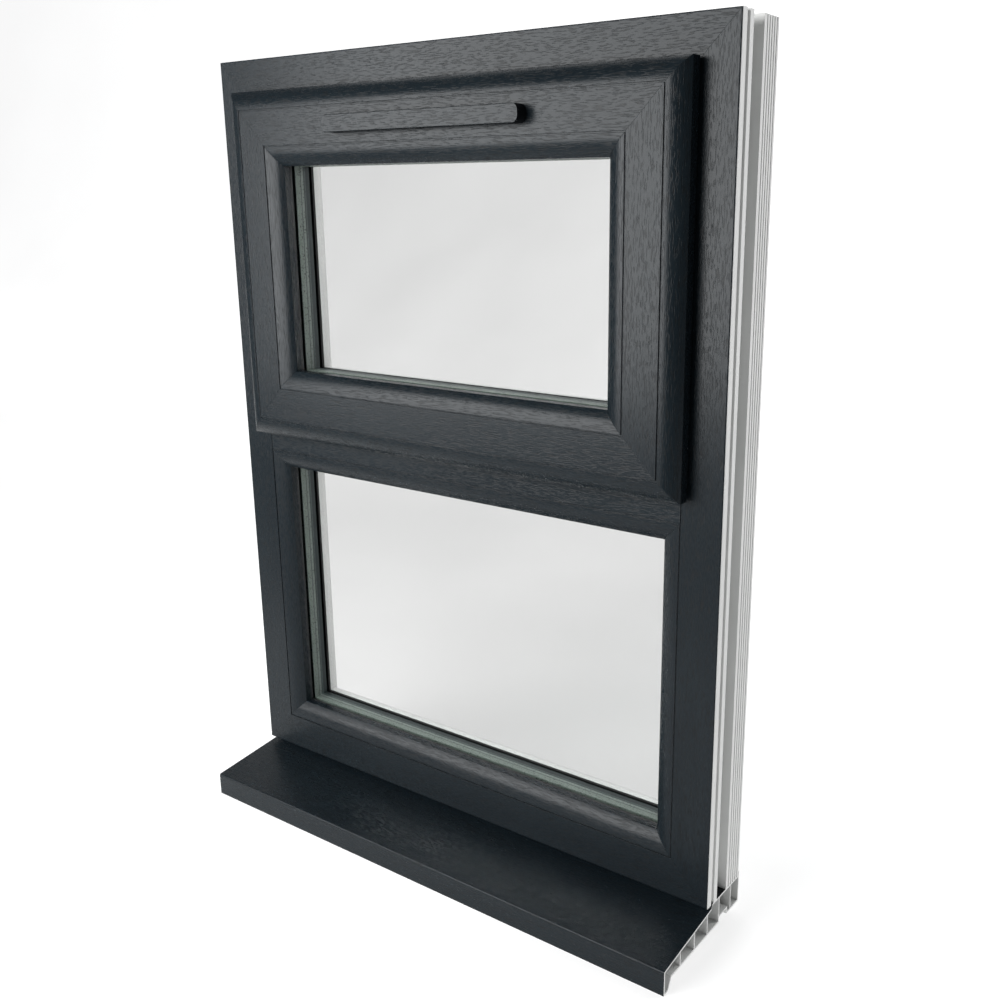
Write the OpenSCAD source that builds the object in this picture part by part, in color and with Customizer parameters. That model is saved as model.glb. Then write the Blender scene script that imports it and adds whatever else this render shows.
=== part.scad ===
// Top-hung window: a mitred multi-chamber frame with a fixed light below and a top-hung
// sash above, carried on four-bar friction stays, on a hollow projecting sill.
// X runs along the window, -Y faces outside, Z is up. The origin is the middle of the sill bed,
// under the outer face of the frame.

/* [Frame] */
// Overall width of the frame and the sill
frame_w = 642; // [560:1:900]
// Height of the frame above the sill
frame_h = 830; // [760:1:1100]
// Depth of the frame, outer face to inner face
frame_d = 70; // [68:0.5:76]
// Flat part of the frame face, from its outer edge
frame_flat = 43; // [40:0.5:50]
// Width of the ovolo moulding of the frame
ovolo_w = 20.5; // [18:0.5:23]
// Depth of the ovolo moulding of the frame
ovolo_d = 8.5; // [6:0.5:10]
// Thickness of the leg that the glass seats against
leg_d = 16.5; // [14:0.5:18]
// Height of the leg above the rebate floor
rebate_h = 14; // [12:0.5:16]
// Depth of the transom's middle below the top of the frame
transom_z = 421.7; // [400:0.1:480]
// Flat part of the transom face
transom_flat = 31.4; // [28:0.2:40]
// Wall of the hollow profiles
wall = 2.5; // [2:0.1:3]
// Web between two chambers
web = 2; // [1.6:0.1:2.4]
// Width of the groove beside a moulding
quirk_w = 1.4; // [0.8:0.1:1.8]
// Depth of the groove beside a moulding
quirk_d = 1; // [0.5:0.1:1.4]
// Radius of the outer face edges
edge_r = 1.5; // [0.5:0.1:2]
// Depth of the fixing channel in the back of the frame members
fixing_deep = 10; // [6:0.5:11]

/* [Sash] */
// Depth of the sash, outer face to inner face
sash_d = 70; // [68:0.5:76]
// How far the sash face stands out from the frame face
sash_proj = 25; // [23:0.5:27]
// How far the sash laps over the flat of the frame
sash_lap = 8; // [6:0.5:10]
// Room between the back of the lip and the frame face
lip_gap = 4; // [3:0.2:5]
// Width of the curved outer edge of the sash
bevel_w = 20.5; // [18:0.5:23]
// Depth of the curved outer edge of the sash
bevel_d = 9.8; // [7:0.2:11]
// Flat part of the sash face
sash_flat = 37.5; // [34:0.5:44]
// Width of the ovolo moulding beside the sash glass
sash_ovolo_w = 20.3; // [18:0.1:23]
// Depth of the ovolo moulding beside the sash glass
sash_ovolo_d = 8.8; // [6:0.1:10]
// Room between the frame leg and the neck of the sash
neck_clear = 3; // [2:0.2:5]

/* [Glazing] */
// Thickness of one pane
pane_t = 4; // [4:0.5:6]
// Gap between the two panes
cavity_t = 20; // [16:1:20]
// Thickness of the gasket on each side of the glass
gasket_t = 3; // [2:0.5:4]
// Height of the gaskets
gasket_h = 5.5; // [4:0.5:7]
// Room between the edge of the glass and the rebate floor
packer_t = 4; // [3:0.5:5]
// Length of a glazing packer
packer_len = 70; // [40:1:80]
// Height of the spacer bar between the panes
spacer_h = 6.5; // [5:0.5:7.5]
// Depth of the sealant behind the spacer bar
sealant_h = 3.5; // [3:0.5:5]

/* [Stay] */
// Length of the short arm between its pivots
short_arm = 50; // [44:0.5:56]
// Length of the long arm between its pivots
long_arm = 198; // [180:1:215]
// Distance between the two pivots on the sash
sash_pivots = 30; // [26:0.5:36]
// Depth of the upper sash pivot below the top of the sash
pivot_drop = 45; // [42:0.5:50]
// Thickness of the arms
arm_t = 2; // [1.5:0.1:2.5]
// Width of the arms
arm_w = 16; // [13:0.5:16]
// Side gap between two arms
arm_gap = 0.3; // [0.2:0.05:0.6]
// Gap between the frame leg and the first arm
arm_rise = 0.7; // [0.5:0.1:1.5]
// Diameter of the pivots
pivot_d = 6; // [5:0.1:7]
// Diameter of the head of a pivot
pivot_head_d = 10; // [9:0.1:11]
// Play of a pivot in its bore, on the diameter
pivot_play = 0.1; // [0.06:0.02:0.16]
// Extra play of the upper sash pivot, on the diameter
loose_play = 1.6; // [1.4:0.1:2]
// Width of the track channel
track_w = 18; // [17:0.5:20]
// Thickness of the track sheet
track_t = 2; // [1.5:0.1:2.5]
// Diameter of the screws that hold the stays
screw_d = 3.5; // [3:0.1:4]

/* [Lock] */
// Travel of the drive bar
bar_travel = 18; // [16:1:22]
// Length of the drive bar
bar_len = 260; // [230:2:300]
// Width of the drive bar
bar_w = 14; // [12:0.5:16]
// Thickness of the drive bar
bar_t = 2; // [1.5:0.1:2.5]
// Distance of each cam from the middle of the bar
cam_x = 90; // [70:1:110]
// Diameter of a cam
cam_d = 9; // [7:0.2:10]
// Width of the square spindle
spindle_w = 7; // [6:0.5:8]
// Length of the handle's base
base_len = 68; // [60:1:80]
// Thickness of the handle's base
base_t = 12; // [9:0.5:14]
// Length of the lever from its pivot to its tip
lever_len = 118; // [100:1:130]
// Distance of the grip from the base
lever_rise = 18; // [14:0.5:24]

/* [Vent] */
// Length of the vent canopy
canopy_len = 248; // [200:2:300]
// Height of the vent canopy
canopy_h = 17; // [15:0.5:19]
// How far the canopy stands out
canopy_proj = 13.5; // [10:0.5:16]
// Corner radius of the canopy
canopy_r = 6.5; // [3:0.5:8]
// Wall of the vent mouldings
vent_wall = 1.6; // [1.2:0.1:2]
// Height of the air slots through the top rail
slot_h = 5.5; // [4:0.5:6]
// Length of each air slot
slot_len = 100; // [60:2:108]
// Depth of the inner vent housing
vent_d = 13; // [11:0.5:16]
// Height of the inner vent housing
vent_h = 22; // [20:0.5:24]

/* [Sill] */
// Height of the frame above the sill bed
sill_h = 31; // [28:0.5:40]
// How far the nose of the sill stands out from the frame face
nose_out = 85; // [60:1:150]
// Height of the nose's upper edge above the sill bed
nose_top = 14; // [12:0.5:18]
// How far the drip of the nose hangs below the sill bed
nose_drop = 12.5; // [8:0.5:16]
// Wall of the sill profile
sill_wall = 1.8; // [1.4:0.1:2.2]
// Height of the upstand behind the frame
upstand_h = 4; // [2:0.5:8]

/* [Hidden] */
$fn = 64;

foil = "#4d5256";
white_plastic = "#ececea";
rubber_black = "#1c1d1e";
steel_grey = "#a9acae";
glass_tint = [0.80, 0.88, 0.86, 0.45];

// Overlap of cutting bodies past the faces that they cut
eps = 1;
// Overlap of areas that are drawn as one section
lap = 0.01;
// Play of pieces that slide into a groove or a hole
fit_play = 0.3;

// Frame section, measured inwards from the outer edge
frame_z = sill_h;
frame_tip = frame_flat + ovolo_w;
frame_floor = frame_tip - rebate_h;
fixing_y0 = 20.8;
fixing_y1 = 41;
drip_y0 = 8.5;
drip_y1 = 14;
drip_deep = 2;
ribs = 5;
rib_y0 = fixing_y1 + 5;
rib_pitch = (frame_d - rib_y0) / ribs;
rib_groove = 1.8;
rib_deep = 1.5;

// Transom section, measured from its middle line
transom_half = transom_flat / 2;
transom_mid = frame_z + frame_h - transom_z;
transom_reach = transom_half + ovolo_w;
transom_floor = transom_reach - rebate_h;
steel_t = 1.5;
steel_gap = 0.5;
steel_end = 12;

// Bead and its clip groove, measured from the back of the profile
bead_foot = 2.4;
bead_foot_deep = 2.6;
bead_groove_w = bead_foot + 2 * fit_play;
bead_groove_deep = bead_foot_deep + fit_play;
bead_groove_back = 9.5;

// Stay layers, measured inwards from the outer edge of the frame
track_sink = 0.5;
track_top = frame_tip - track_sink;
short_u = frame_tip + arm_rise;
long_u = short_u + arm_t + arm_gap;
sash_arm_u = long_u + arm_t + arm_gap;
hardware_u = sash_arm_u + arm_t;

// Sash section, measured inwards from the edge of its lip
lip_u = frame_flat - sash_lap;
sash_face = -sash_proj;
sash_back = sash_d - sash_proj;
neck_s = frame_tip + neck_clear - lip_u;
neck_past_leg = 3.5;
neck_back = leg_d + neck_past_leg;
hardware_s = hardware_u - lip_u;
sash_flat_end = bevel_w + sash_flat;
sash_tip = sash_flat_end + sash_ovolo_w;
sash_floor = sash_tip - rebate_h;
seal_groove_s = 3.2;
seal_w = 3.2;
seal_deep = 2.5;
seal_head_w = 5.4;
seal_touch = 0.3;

// Sash outline
sash_w = frame_w - 2 * lip_u;
sash_z0 = transom_mid + transom_half - sash_lap;
sash_z1 = frame_z + frame_h - lip_u;
sash_h = sash_z1 - sash_z0;

// Rebates that the two glass units sit in: width, lower edge, height, leg back and profile back
unit_t = 2 * pane_t + cavity_t;
fixed_w = frame_w - 2 * frame_floor;
fixed_z0 = frame_z + frame_floor;
fixed_h = transom_mid - transom_floor - fixed_z0;
fixed_leg = leg_d;
vent_w = sash_w - 2 * sash_floor;
vent_z0 = sash_z0 + sash_floor;
vent_open_h = sash_h - 2 * sash_floor;
vent_leg = sash_face + leg_d;

// Stay pivots
stay_clear = 3;
stay_y = neck_back + stay_clear + arm_w / 2;
upper_sash_pivot = sash_z1 - pivot_drop;
lower_sash_pivot = upper_sash_pivot - sash_pivots;
upper_frame_pivot = upper_sash_pivot - short_arm;
lower_frame_pivot = lower_sash_pivot - long_arm;
track_end = 14;
track_z0 = lower_frame_pivot - track_end;
track_z1 = upper_frame_pivot + track_end;
track_screw_pitch = (upper_frame_pivot - lower_frame_pivot) / 4;
track_screw_z = [for (k = [1 : 3]) lower_frame_pivot + k * track_screw_pitch];
sash_screw_pitch = 24;
sash_arm_screw_z = [for (k = [1 : 3]) lower_sash_pivot - k * sash_screw_pitch];
sash_arm_z0 = sash_arm_screw_z[2];
pivot_head_t = 0.8;
boss_d = 12;
boss_gap = arm_gap / 3;
screw_head_d = 7;
screw_head_t = 1;
screw_play = 0.2;
track_screw_len = 26;
sash_screw_len = 20;

// Lock, on the hardware side of the bottom rail
hardware_z = sash_z0 + hardware_s;
bar_z1 = hardware_z - fit_play;
bar_z0 = bar_z1 - bar_t;
bar_y = stay_y;
keep_floor = transom_mid + transom_floor;
leg_top = transom_mid + transom_reach;
cam_clear = 0.7;
cam_z0 = leg_top + cam_clear;
spindle_drop = 1;
spindle_z = sash_z0 + (hardware_s + sash_floor) / 2 - spindle_drop;
spindle_play = 1.3;
spindle_bore = spindle_w * sqrt(2) + spindle_play;
gearbox_len = 46;
gearbox_w = 14;
gearbox_top = sash_z0 + sash_floor - wall - bead_groove_deep - fit_play;
handle_screw_x = 21.5;
handle_screw_d = 5;
handle_screw_head = 8;
handle_screw_len = 24;
handle_screw_sink = 6;
handle_head_t = 3;
base_h = 26;
keep_len = 30;
keep_w = 20;
keep_base_t = 3;
keep_hook_t = 3.5;
keep_gap = 0.4;
keep_hook_y0 = bar_y - cam_d / 2 - keep_gap - keep_hook_t;
keep_hook_top = sash_z0 + neck_s;
keep_lead = 2;
keep_x = cam_x + keep_lead;
keep_screw_x = 8.5;
keep_screw_len = 16;

// Vent, on the top rail
canopy_s = bevel_w + sash_flat / 2;
canopy_z = sash_z1 - canopy_s;
slot_drop = 4.5;
slot_z = canopy_z - slot_drop;
slot_gap = 12;
vent_z = sash_z1 - (hardware_s + sash_floor) / 2;
vent_len = canopy_len;
vent_r = 3;
vent_end = 9;
vent_ledge = 3.2;
vent_mouth_len = vent_len - 2 * vent_end;
vent_mouth_h = vent_h - 2 * vent_ledge;
vent_mouth_z0 = vent_z - vent_mouth_h / 2;
flap_t = 2;
flap_pin_d = 3;
flap_play = 0.3;
flap_ear = 4.8;
flap_pin_y = sash_back + vent_d - flap_pin_d;
flap_pin_z = vent_mouth_z0 + flap_pin_d;
flap_tab_d = 3;
flap_tab_len = 60;

// Sill section
sill_step_y0 = 10;
sill_step_y1 = 12;
sill_step_h = 4.7;
sill_back = frame_d + 2;
upstand_t = sill_back - frame_d - fit_play;
sill_foot_y = 45;
sill_notch_y = 28;
sill_notch_h = 6;
nose_back = 8.4;
nose_slope = 6.1;
nose_heel = 0.8;
nose_r = 2;
nose_steps = 6;
sill_web = 1.4;
sill_webs = [-53.6, -25, 2, 27, 53];

// One straight member lying along X, its outer edge at z = 0, cut to 45 degrees at both ends.
// The child is the section, drawn as depth across and distance from the outer edge upwards.
module mitred(span, reach, y0, y1, below = 0) {
    intersection() {
        translate([-span / 2 - below, 0, 0])
            rotate([90, 0, 90])
                linear_extrude(span + 2 * below)
                    children();
        translate([0, y1, 0])
            rotate([90, 0, 0])
                linear_extrude(y1 - y0)
                    polygon([
                        [-span / 2 - below, -below],
                        [span / 2 + below, -below],
                        [span / 2 - reach, reach],
                        [-span / 2 + reach, reach]
                    ]);
    }
}

// Turns a member that lies along X into one side of a rectangle of width w and height h above z0.
module side_of(side, w, h, z0) {
    if (side == "bottom") translate([0, 0, z0]) children();
    if (side == "top") translate([0, 0, z0 + h]) rotate([0, 180, 0]) children();
    if (side == "left") translate([-w / 2, 0, z0 + h / 2]) rotate([0, 90, 0]) children();
    if (side == "right") translate([w / 2, 0, z0 + h / 2]) rotate([0, -90, 0]) children();
}

function side_span(side, w, h) = side == "bottom" || side == "top" ? w : h;

// Radius of an arc that leaves a face tangentially and falls by d over a width w.
function ovolo_r(w, d) = (w * w + d * d) / (2 * d);

// Area from corner p to corner q.
module area(p, q) {
    translate(p) square([q[0] - p[0], q[1] - p[1]]);
}

// The leg of a profile past its flat: an ovolo that leaves the face at distance flat.
module ovolo_leg(face, flat, w, d, back) {
    intersection() {
        area([face, flat - lap], [back, flat + w]);
        translate([face + ovolo_r(w, d), flat]) circle(ovolo_r(w, d), $fn = 180);
    }
}

module quirk(face, at) {
    area([face - eps, at - quirk_w / 2], [face + quirk_d, at + quirk_w / 2]);
}

// Rounds the outer front edge of a section at distance 0.
module edge_cut(face) {
    difference() {
        area([face - eps, -eps], [face + edge_r, edge_r]);
        translate([face + edge_r, edge_r]) circle(edge_r);
    }
}

// Leg, rebate, bead groove and leg chamber, shared by the frame and the transom.
module frame_half(flat) {
    tip = flat + ovolo_w;
    floor_u = tip - rebate_h;
    difference() {
        union() {
            area([0, 0], [leg_d, flat]);
            ovolo_leg(0, flat, ovolo_w, ovolo_d, leg_d);
            area([leg_d - lap, 0], [frame_d, floor_u]);
            area([ovolo_d, 0], [leg_d, floor_u]);
        }
        quirk(0, flat);
        area([frame_d - bead_groove_back - bead_groove_w, floor_u - bead_groove_deep],
             [frame_d - bead_groove_back, floor_u + eps]);
        area([ovolo_d, floor_u], [leg_d - wall, tip - wall]);
    }
}

module frame_section() {
    difference() {
        frame_half(frame_flat);
        edge_cut(0);
        area([drip_y0, -eps], [drip_y1, drip_deep]);
        area([fixing_y0, -eps], [fixing_y1, fixing_deep]);
        for (k = [0 : ribs - 1])
            area([rib_y0 + k * rib_pitch, -eps], [rib_y0 + k * rib_pitch + rib_groove, rib_deep]);
        area([wall, drip_deep + wall], [fixing_y0 - wall, frame_floor - wall]);
        area([fixing_y0 - wall + web, fixing_deep + wall], [fixing_y1 + wall, frame_floor - wall]);
        area([fixing_y1 + wall + web, rib_deep + wall],
             [frame_d - wall, frame_floor - wall - bead_groove_deep]);
    }
}

module transom_section() {
    difference() {
        union() {
            frame_half(transom_half);
            mirror([0, 1]) frame_half(transom_half);
        }
        area([wall, wall - transom_floor], [fixing_y0 - wall, transom_floor - wall]);
        area([fixing_y0 - wall + web, wall - transom_floor], [fixing_y1 + wall, transom_floor - wall]);
        area([fixing_y1 + wall + web, wall + bead_groove_deep - transom_floor],
             [frame_d - wall, transom_floor - wall - bead_groove_deep]);
    }
}

module sash_section() {
    difference() {
        union() {
            mirror([0, 1])
                translate([0, -bevel_w])
                    ovolo_leg(sash_face, 0, bevel_w, bevel_d, -lip_gap);
            area([sash_face, bevel_w - lap], [-lip_gap, sash_flat_end]);
            ovolo_leg(sash_face, sash_flat_end, sash_ovolo_w, sash_ovolo_d, vent_leg);
            area([sash_face + sash_ovolo_d, neck_s], [neck_back, sash_floor]);
            area([neck_back - lap, hardware_s], [sash_back, sash_floor]);
        }
        quirk(sash_face, bevel_w);
        quirk(sash_face, sash_flat_end);
        area([-lip_gap - seal_deep, seal_groove_s], [-lip_gap + eps, seal_groove_s + seal_w]);
        area([sash_face + sash_ovolo_d, sash_floor], [vent_leg - wall, sash_tip - wall]);
        area([sash_face + 2 * wall, seal_groove_s + seal_w + 2 * wall], [-lip_gap - wall, neck_s - wall]);
        area([sash_face + wall, neck_s], [vent_leg - wall, sash_floor - 2 * wall]);
        area([vent_leg, neck_s + wall], [neck_back - wall, sash_floor - wall]);
        area([neck_back, hardware_s + wall], [sash_back - wall, sash_floor - wall - bead_groove_deep]);
        area([sash_back - bead_groove_back - bead_groove_w, sash_floor - bead_groove_deep],
             [sash_back - bead_groove_back, sash_floor + eps]);
    }
}

module frame_member(side) {
    side_of(side, frame_w, frame_h, frame_z)
        mitred(side_span(side, frame_w, frame_h), frame_tip + eps, -eps, frame_d + eps)
            frame_section();
}

module sash_member(side) {
    side_of(side, sash_w, sash_h, sash_z0)
        mitred(side_span(side, sash_w, sash_h), sash_tip + eps, sash_face - eps, sash_back + eps)
            sash_section();
}

// Outline of the transom in the face plane, pointed at both ends to fit the notches in the jambs.
module transom_outline(reach) {
    half = frame_w / 2 - frame_flat;
    polygon([
        [-half, -transom_half],
        [-half + reach, -transom_half - reach],
        [half - reach, -transom_half - reach],
        [half, -transom_half],
        [half, transom_half],
        [half - reach, transom_half + reach],
        [-half + reach, transom_half + reach],
        [-half, transom_half]
    ]);
}

// A slab through the whole depth of the frame, from an outline in the face plane.
module through_frame(z) {
    translate([0, frame_d + eps, z])
        rotate([90, 0, 0])
            linear_extrude(frame_d + 2 * eps)
                children();
}

// A jamb, notched where the transom is let in, with screw holes for the stay.
module frame_jamb(side) {
    turn = side == "left" ? 1 : 0;
    difference() {
        frame_member(side);
        through_frame(transom_mid) transom_outline(ovolo_w + 2 * eps);
        mirror([turn, 0, 0])
            for (z = track_screw_z)
                across(frame_floor - track_screw_len, frame_floor + eps, z, screw_d + screw_play);
    }
}

module frame_head() {
    color(foil) frame_member("top");
}

module frame_left_jamb() {
    color(foil) frame_jamb("left");
}

module frame_right_jamb() {
    color(foil) frame_jamb("right");
}

module frame_bottom_rail() {
    color(foil) frame_member("bottom");
}

module transom() {
    color(foil)
        difference() {
            intersection() {
                translate([-frame_w / 2, 0, transom_mid])
                    rotate([90, 0, 90])
                        linear_extrude(frame_w)
                            transom_section();
                through_frame(transom_mid) transom_outline(ovolo_w);
            }
            at_keeps() keep_holes(keep_screw_len, keep_floor);
        }
}

// Rectangular steel tube in the main chamber of the transom.
module transom_steel() {
    y0 = fixing_y0 - wall + web + steel_gap;
    y1 = fixing_y1 + wall - steel_gap;
    half = transom_floor - wall - steel_gap;
    len = frame_w - 2 * frame_flat - 2 * steel_end;
    color(steel_grey)
        difference() {
            translate([-len / 2, 0, transom_mid])
                rotate([90, 0, 90])
                    linear_extrude(len)
                        difference() {
                            area([y0, -half], [y1, half]);
                            area([y0 + steel_t, steel_t - half], [y1 - steel_t, half - steel_t]);
                        }
            at_keeps() keep_holes(keep_screw_len, keep_floor);
        }
}

// Height of the sill's upper face at depth y.
function sill_top(y) =
    y <= sill_step_y0
        ? nose_top + (y + nose_out) * (sill_h - sill_step_h - nose_top) / (sill_step_y0 + nose_out)
        : y >= sill_step_y1 ? sill_h
        : sill_h - sill_step_h * (sill_step_y1 - y) / (sill_step_y1 - sill_step_y0);

// Height of the sill's underside at depth y.
function sill_under(y) = y > sill_notch_y - sill_web && y < sill_foot_y + sill_wall ? sill_notch_h : 0;

// The chamber between depths y0 and y1.
module sill_chamber(y0, y1) {
    steps = [for (y = [sill_step_y0, sill_step_y1]) if (y > y0 && y < y1) y];
    foot = sill_foot_y + sill_wall;
    has_foot = y0 < foot && y1 > foot;
    polygon(concat(
        [[y0, sill_under(y0) + sill_wall]],
        has_foot ? [[foot, sill_notch_h + sill_wall], [foot, sill_wall]] : [],
        [[y1, sill_under(y1) + sill_wall], [y1, sill_top(y1) - sill_wall]],
        [for (k = [len(steps) - 1 : -1 : 0]) [steps[k], sill_top(steps[k]) - sill_wall]],
        [[y0, sill_top(y0) - sill_wall]]
    ));
}

// Outline of the sill with a rounded nose edge, a drip and a notched underside.
module sill_outline() {
    front = -nose_out;
    round_z = sill_top(front + nose_r) - nose_r;
    polygon(concat(
        [[front, -nose_drop]],
        [
            for (k = [0 : nose_steps])
                let (turn = 90 * k / nose_steps)
                    [front + nose_r * (1 - cos(turn)), round_z + nose_r * sin(turn)]
        ],
        [
            [sill_step_y0, sill_h - sill_step_h],
            [sill_step_y1, sill_h],
            [sill_back - upstand_t, sill_h],
            [sill_back - upstand_t, sill_h + upstand_h],
            [sill_back, sill_h + upstand_h],
            [sill_back, 0],
            [sill_foot_y, 0],
            [sill_foot_y, sill_notch_h],
            [sill_notch_y, sill_notch_h],
            [sill_notch_y, 0],
            [front + nose_back + nose_slope, 0],
            [front + nose_back, nose_heel - nose_drop]
        ]
    ));
}

module sill_section() {
    front = -nose_out;
    heel = front + nose_back;
    last = len(sill_webs) - 1;
    difference() {
        sill_outline();
        polygon([
            [front + sill_wall, sill_wall - nose_drop],
            [heel - sill_wall / 2, nose_heel + sill_wall - nose_drop],
            [heel + nose_slope - sill_wall / 2, sill_wall],
            [sill_webs[0] - sill_web / 2, sill_wall],
            [sill_webs[0] - sill_web / 2, sill_top(sill_webs[0]) - sill_wall],
            [front + sill_wall, sill_top(front + sill_wall) - sill_wall]
        ]);
        for (k = [0 : last - 1])
            sill_chamber(sill_webs[k] + sill_web / 2, sill_webs[k + 1] - sill_web / 2);
        sill_chamber(sill_webs[last] + sill_web / 2, sill_back - sill_wall);
    }
}

module sill() {
    color(foil)
        translate([-frame_w / 2, 0, 0])
            rotate([90, 0, 90])
                linear_extrude(frame_w)
                    sill_section();
}

// A box from corner p to corner q.
module block(p, q) {
    translate(p) cube([q[0] - p[0], q[1] - p[1], q[2] - p[2]]);
}

// A rectangular ring in the face plane between insets a and b of a rebate, from depth y0 to y1.
module ring(w, z0, h, a, b, y0, y1) {
    difference() {
        block([a - w / 2, y0, z0 + a], [w / 2 - a, y1, z0 + h - a]);
        block([b - w / 2, y0 - eps, z0 + b], [w / 2 - b, y1 + eps, z0 + h - b]);
    }
}

module pane(w, z0, h, y0) {
    color(glass_tint)
        block([packer_t - w / 2, y0, z0 + packer_t], [w / 2 - packer_t, y0 + pane_t, z0 + h - packer_t]);
}

module outer_pane(w, z0, h, leg) {
    pane(w, z0, h, leg + gasket_t);
}

module inner_pane(w, z0, h, leg) {
    pane(w, z0, h, leg + gasket_t + pane_t + cavity_t);
}

module spacer(w, z0, h, leg) {
    a = packer_t + sealant_h;
    y0 = leg + gasket_t + pane_t;
    color("#3d4243") ring(w, z0, h, a, a + spacer_h, y0, y0 + cavity_t);
}

module sealant(w, z0, h, leg) {
    y0 = leg + gasket_t + pane_t;
    color(rubber_black) ring(w, z0, h, packer_t, packer_t + sealant_h, y0, y0 + cavity_t);
}

module glazing_gasket(w, z0, h, y0) {
    a = rebate_h - gasket_h - fit_play;
    color(rubber_black) ring(w, z0, h, a, rebate_h - fit_play, y0, y0 + gasket_t);
}

// Two packers on each side of a glass unit.
module packers(w, z0, h, leg) {
    y0 = leg + gasket_t;
    color("#2f6fb0") {
        for (sx = [-1, 1], top = [0, 1])
            translate([sx * w / 4 - packer_len / 2, y0, z0 + top * (h - packer_t)])
                cube([packer_len, unit_t, packer_t]);
        for (sz = [-1, 1], right = [0, 1])
            translate([-w / 2 + right * (w - packer_t), y0, z0 + h / 2 + sz * h / 4 - packer_len / 2])
                cube([packer_t, unit_t, packer_len]);
    }
}

// Glazing bead: an ovolo outside, a hollow body and a foot that clips into the groove.
module bead_section(y0, y1) {
    shelf = 4;
    face_w = 3;
    chamber_h = 6;
    run = y1 - y0 - face_w;
    rise = rebate_h - shelf;
    foot_y = y1 + fit_play - bead_groove_back - bead_groove_w + fit_play;
    difference() {
        union() {
            area([y0, 0], [y1, shelf]);
            area([y0, 0], [y0 + face_w, rebate_h]);
            intersection() {
                area([y0 + face_w - lap, 0], [y1, rebate_h]);
                translate([y0 + face_w, rebate_h - ovolo_r(run, rise)])
                    circle(ovolo_r(run, rise), $fn = 180);
            }
            area([foot_y, -bead_foot_deep], [foot_y + bead_foot, 1]);
        }
        area([y0 + face_w, wall], [y1 - 2 * wall, chamber_h]);
    }
}

module bead(side, w, z0, h, leg, back) {
    y0 = leg + 2 * gasket_t + unit_t;
    color(white_plastic)
        side_of(side, w, h, z0)
            mitred(side_span(side, w, h), rebate_h + eps, y0 - eps, back, bead_foot_deep + eps)
                bead_section(y0, back - fit_play);
}

module fixed_outer_pane() {
    outer_pane(fixed_w, fixed_z0, fixed_h, fixed_leg);
}

module fixed_inner_pane() {
    inner_pane(fixed_w, fixed_z0, fixed_h, fixed_leg);
}

module fixed_spacer() {
    spacer(fixed_w, fixed_z0, fixed_h, fixed_leg);
}

module fixed_sealant() {
    sealant(fixed_w, fixed_z0, fixed_h, fixed_leg);
}

module fixed_outer_gasket() {
    glazing_gasket(fixed_w, fixed_z0, fixed_h, fixed_leg);
}

module fixed_inner_gasket() {
    glazing_gasket(fixed_w, fixed_z0, fixed_h, fixed_leg + gasket_t + unit_t);
}

module fixed_packers() {
    packers(fixed_w, fixed_z0, fixed_h, fixed_leg);
}

module fixed_bead(side) {
    bead(side, fixed_w, fixed_z0, fixed_h, fixed_leg, frame_d);
}

module sash_outer_pane() {
    outer_pane(vent_w, vent_z0, vent_open_h, vent_leg);
}

module sash_inner_pane() {
    inner_pane(vent_w, vent_z0, vent_open_h, vent_leg);
}

module sash_spacer() {
    spacer(vent_w, vent_z0, vent_open_h, vent_leg);
}

module sash_sealant() {
    sealant(vent_w, vent_z0, vent_open_h, vent_leg);
}

module sash_outer_gasket() {
    glazing_gasket(vent_w, vent_z0, vent_open_h, vent_leg);
}

module sash_inner_gasket() {
    glazing_gasket(vent_w, vent_z0, vent_open_h, vent_leg + gasket_t + unit_t);
}

module sash_packers() {
    packers(vent_w, vent_z0, vent_open_h, vent_leg);
}

module sash_bead(side) {
    bead(side, vent_w, vent_z0, vent_open_h, vent_leg, sash_back);
}

// The weather seal round the back of the lip: a stem in the groove and a head against the frame.
module sash_seal() {
    mid = seal_groove_s + seal_w / 2;
    stem = seal_w / 2 - fit_play / 2;
    color(rubber_black)
        union() {
            ring(sash_w, sash_z0, sash_h, mid - stem, mid + stem,
                 -lip_gap - seal_deep + fit_play, -lip_gap + eps / 2);
            ring(sash_w, sash_z0, sash_h, mid - seal_head_w / 2, mid + seal_head_w / 2,
                 -lip_gap, -seal_touch);
        }
}

// A round bar along X on the right side, between distances u0 and u1 from the frame's edge.
module across(u0, u1, z, d) {
    translate([frame_w / 2 - u1, stay_y, z])
        rotate([0, 90, 0])
            cylinder(d = d, h = u1 - u0);
}

// Both hands of a piece that is drawn on the right side.
module both_sides() {
    children();
    mirror([1, 0, 0]) children();
}

// A flat arm with round ends on the right side, between heights z0 and z1.
module arm(u, z0, z1) {
    across(u, u + arm_t, z0, arm_w);
    across(u, u + arm_t, z1, arm_w);
    block([frame_w / 2 - u - arm_t, stay_y - arm_w / 2, z0], [frame_w / 2 - u, stay_y + arm_w / 2, z1]);
}

// A bore with a sunk seat for a flush head, from the face nearer the sash or the frame.
module sunk_bore(u, z, play, on_sash_face) {
    head_u = on_sash_face ? u + arm_t - pivot_head_t - pivot_play : u - eps;
    across(u - eps, u + arm_t + eps, z, pivot_d + play);
    across(head_u, head_u + pivot_head_t + pivot_play + eps, z, pivot_head_d + play);
}

// A channel of folded sheet on the rebate floor, its web towards the sash.
module track() {
    y0 = stay_y - track_w / 2;
    y1 = stay_y + track_w / 2;
    x0 = frame_w / 2 - track_top;
    x1 = frame_w / 2 - frame_floor;
    difference() {
        block([x0, y0, track_z0], [x1, y1, track_z1]);
        block([x0 + track_t, y0 + track_t, track_z0 - eps], [x1 + eps, y1 - track_t, track_z1 + eps]);
        for (z = track_screw_z)
            across(track_top - track_t - eps, track_top + eps, z, screw_d + screw_play);
        for (z = [upper_frame_pivot, lower_frame_pivot])
            across(track_top - track_t - eps, track_top + eps, z, pivot_d);
    }
}

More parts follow.
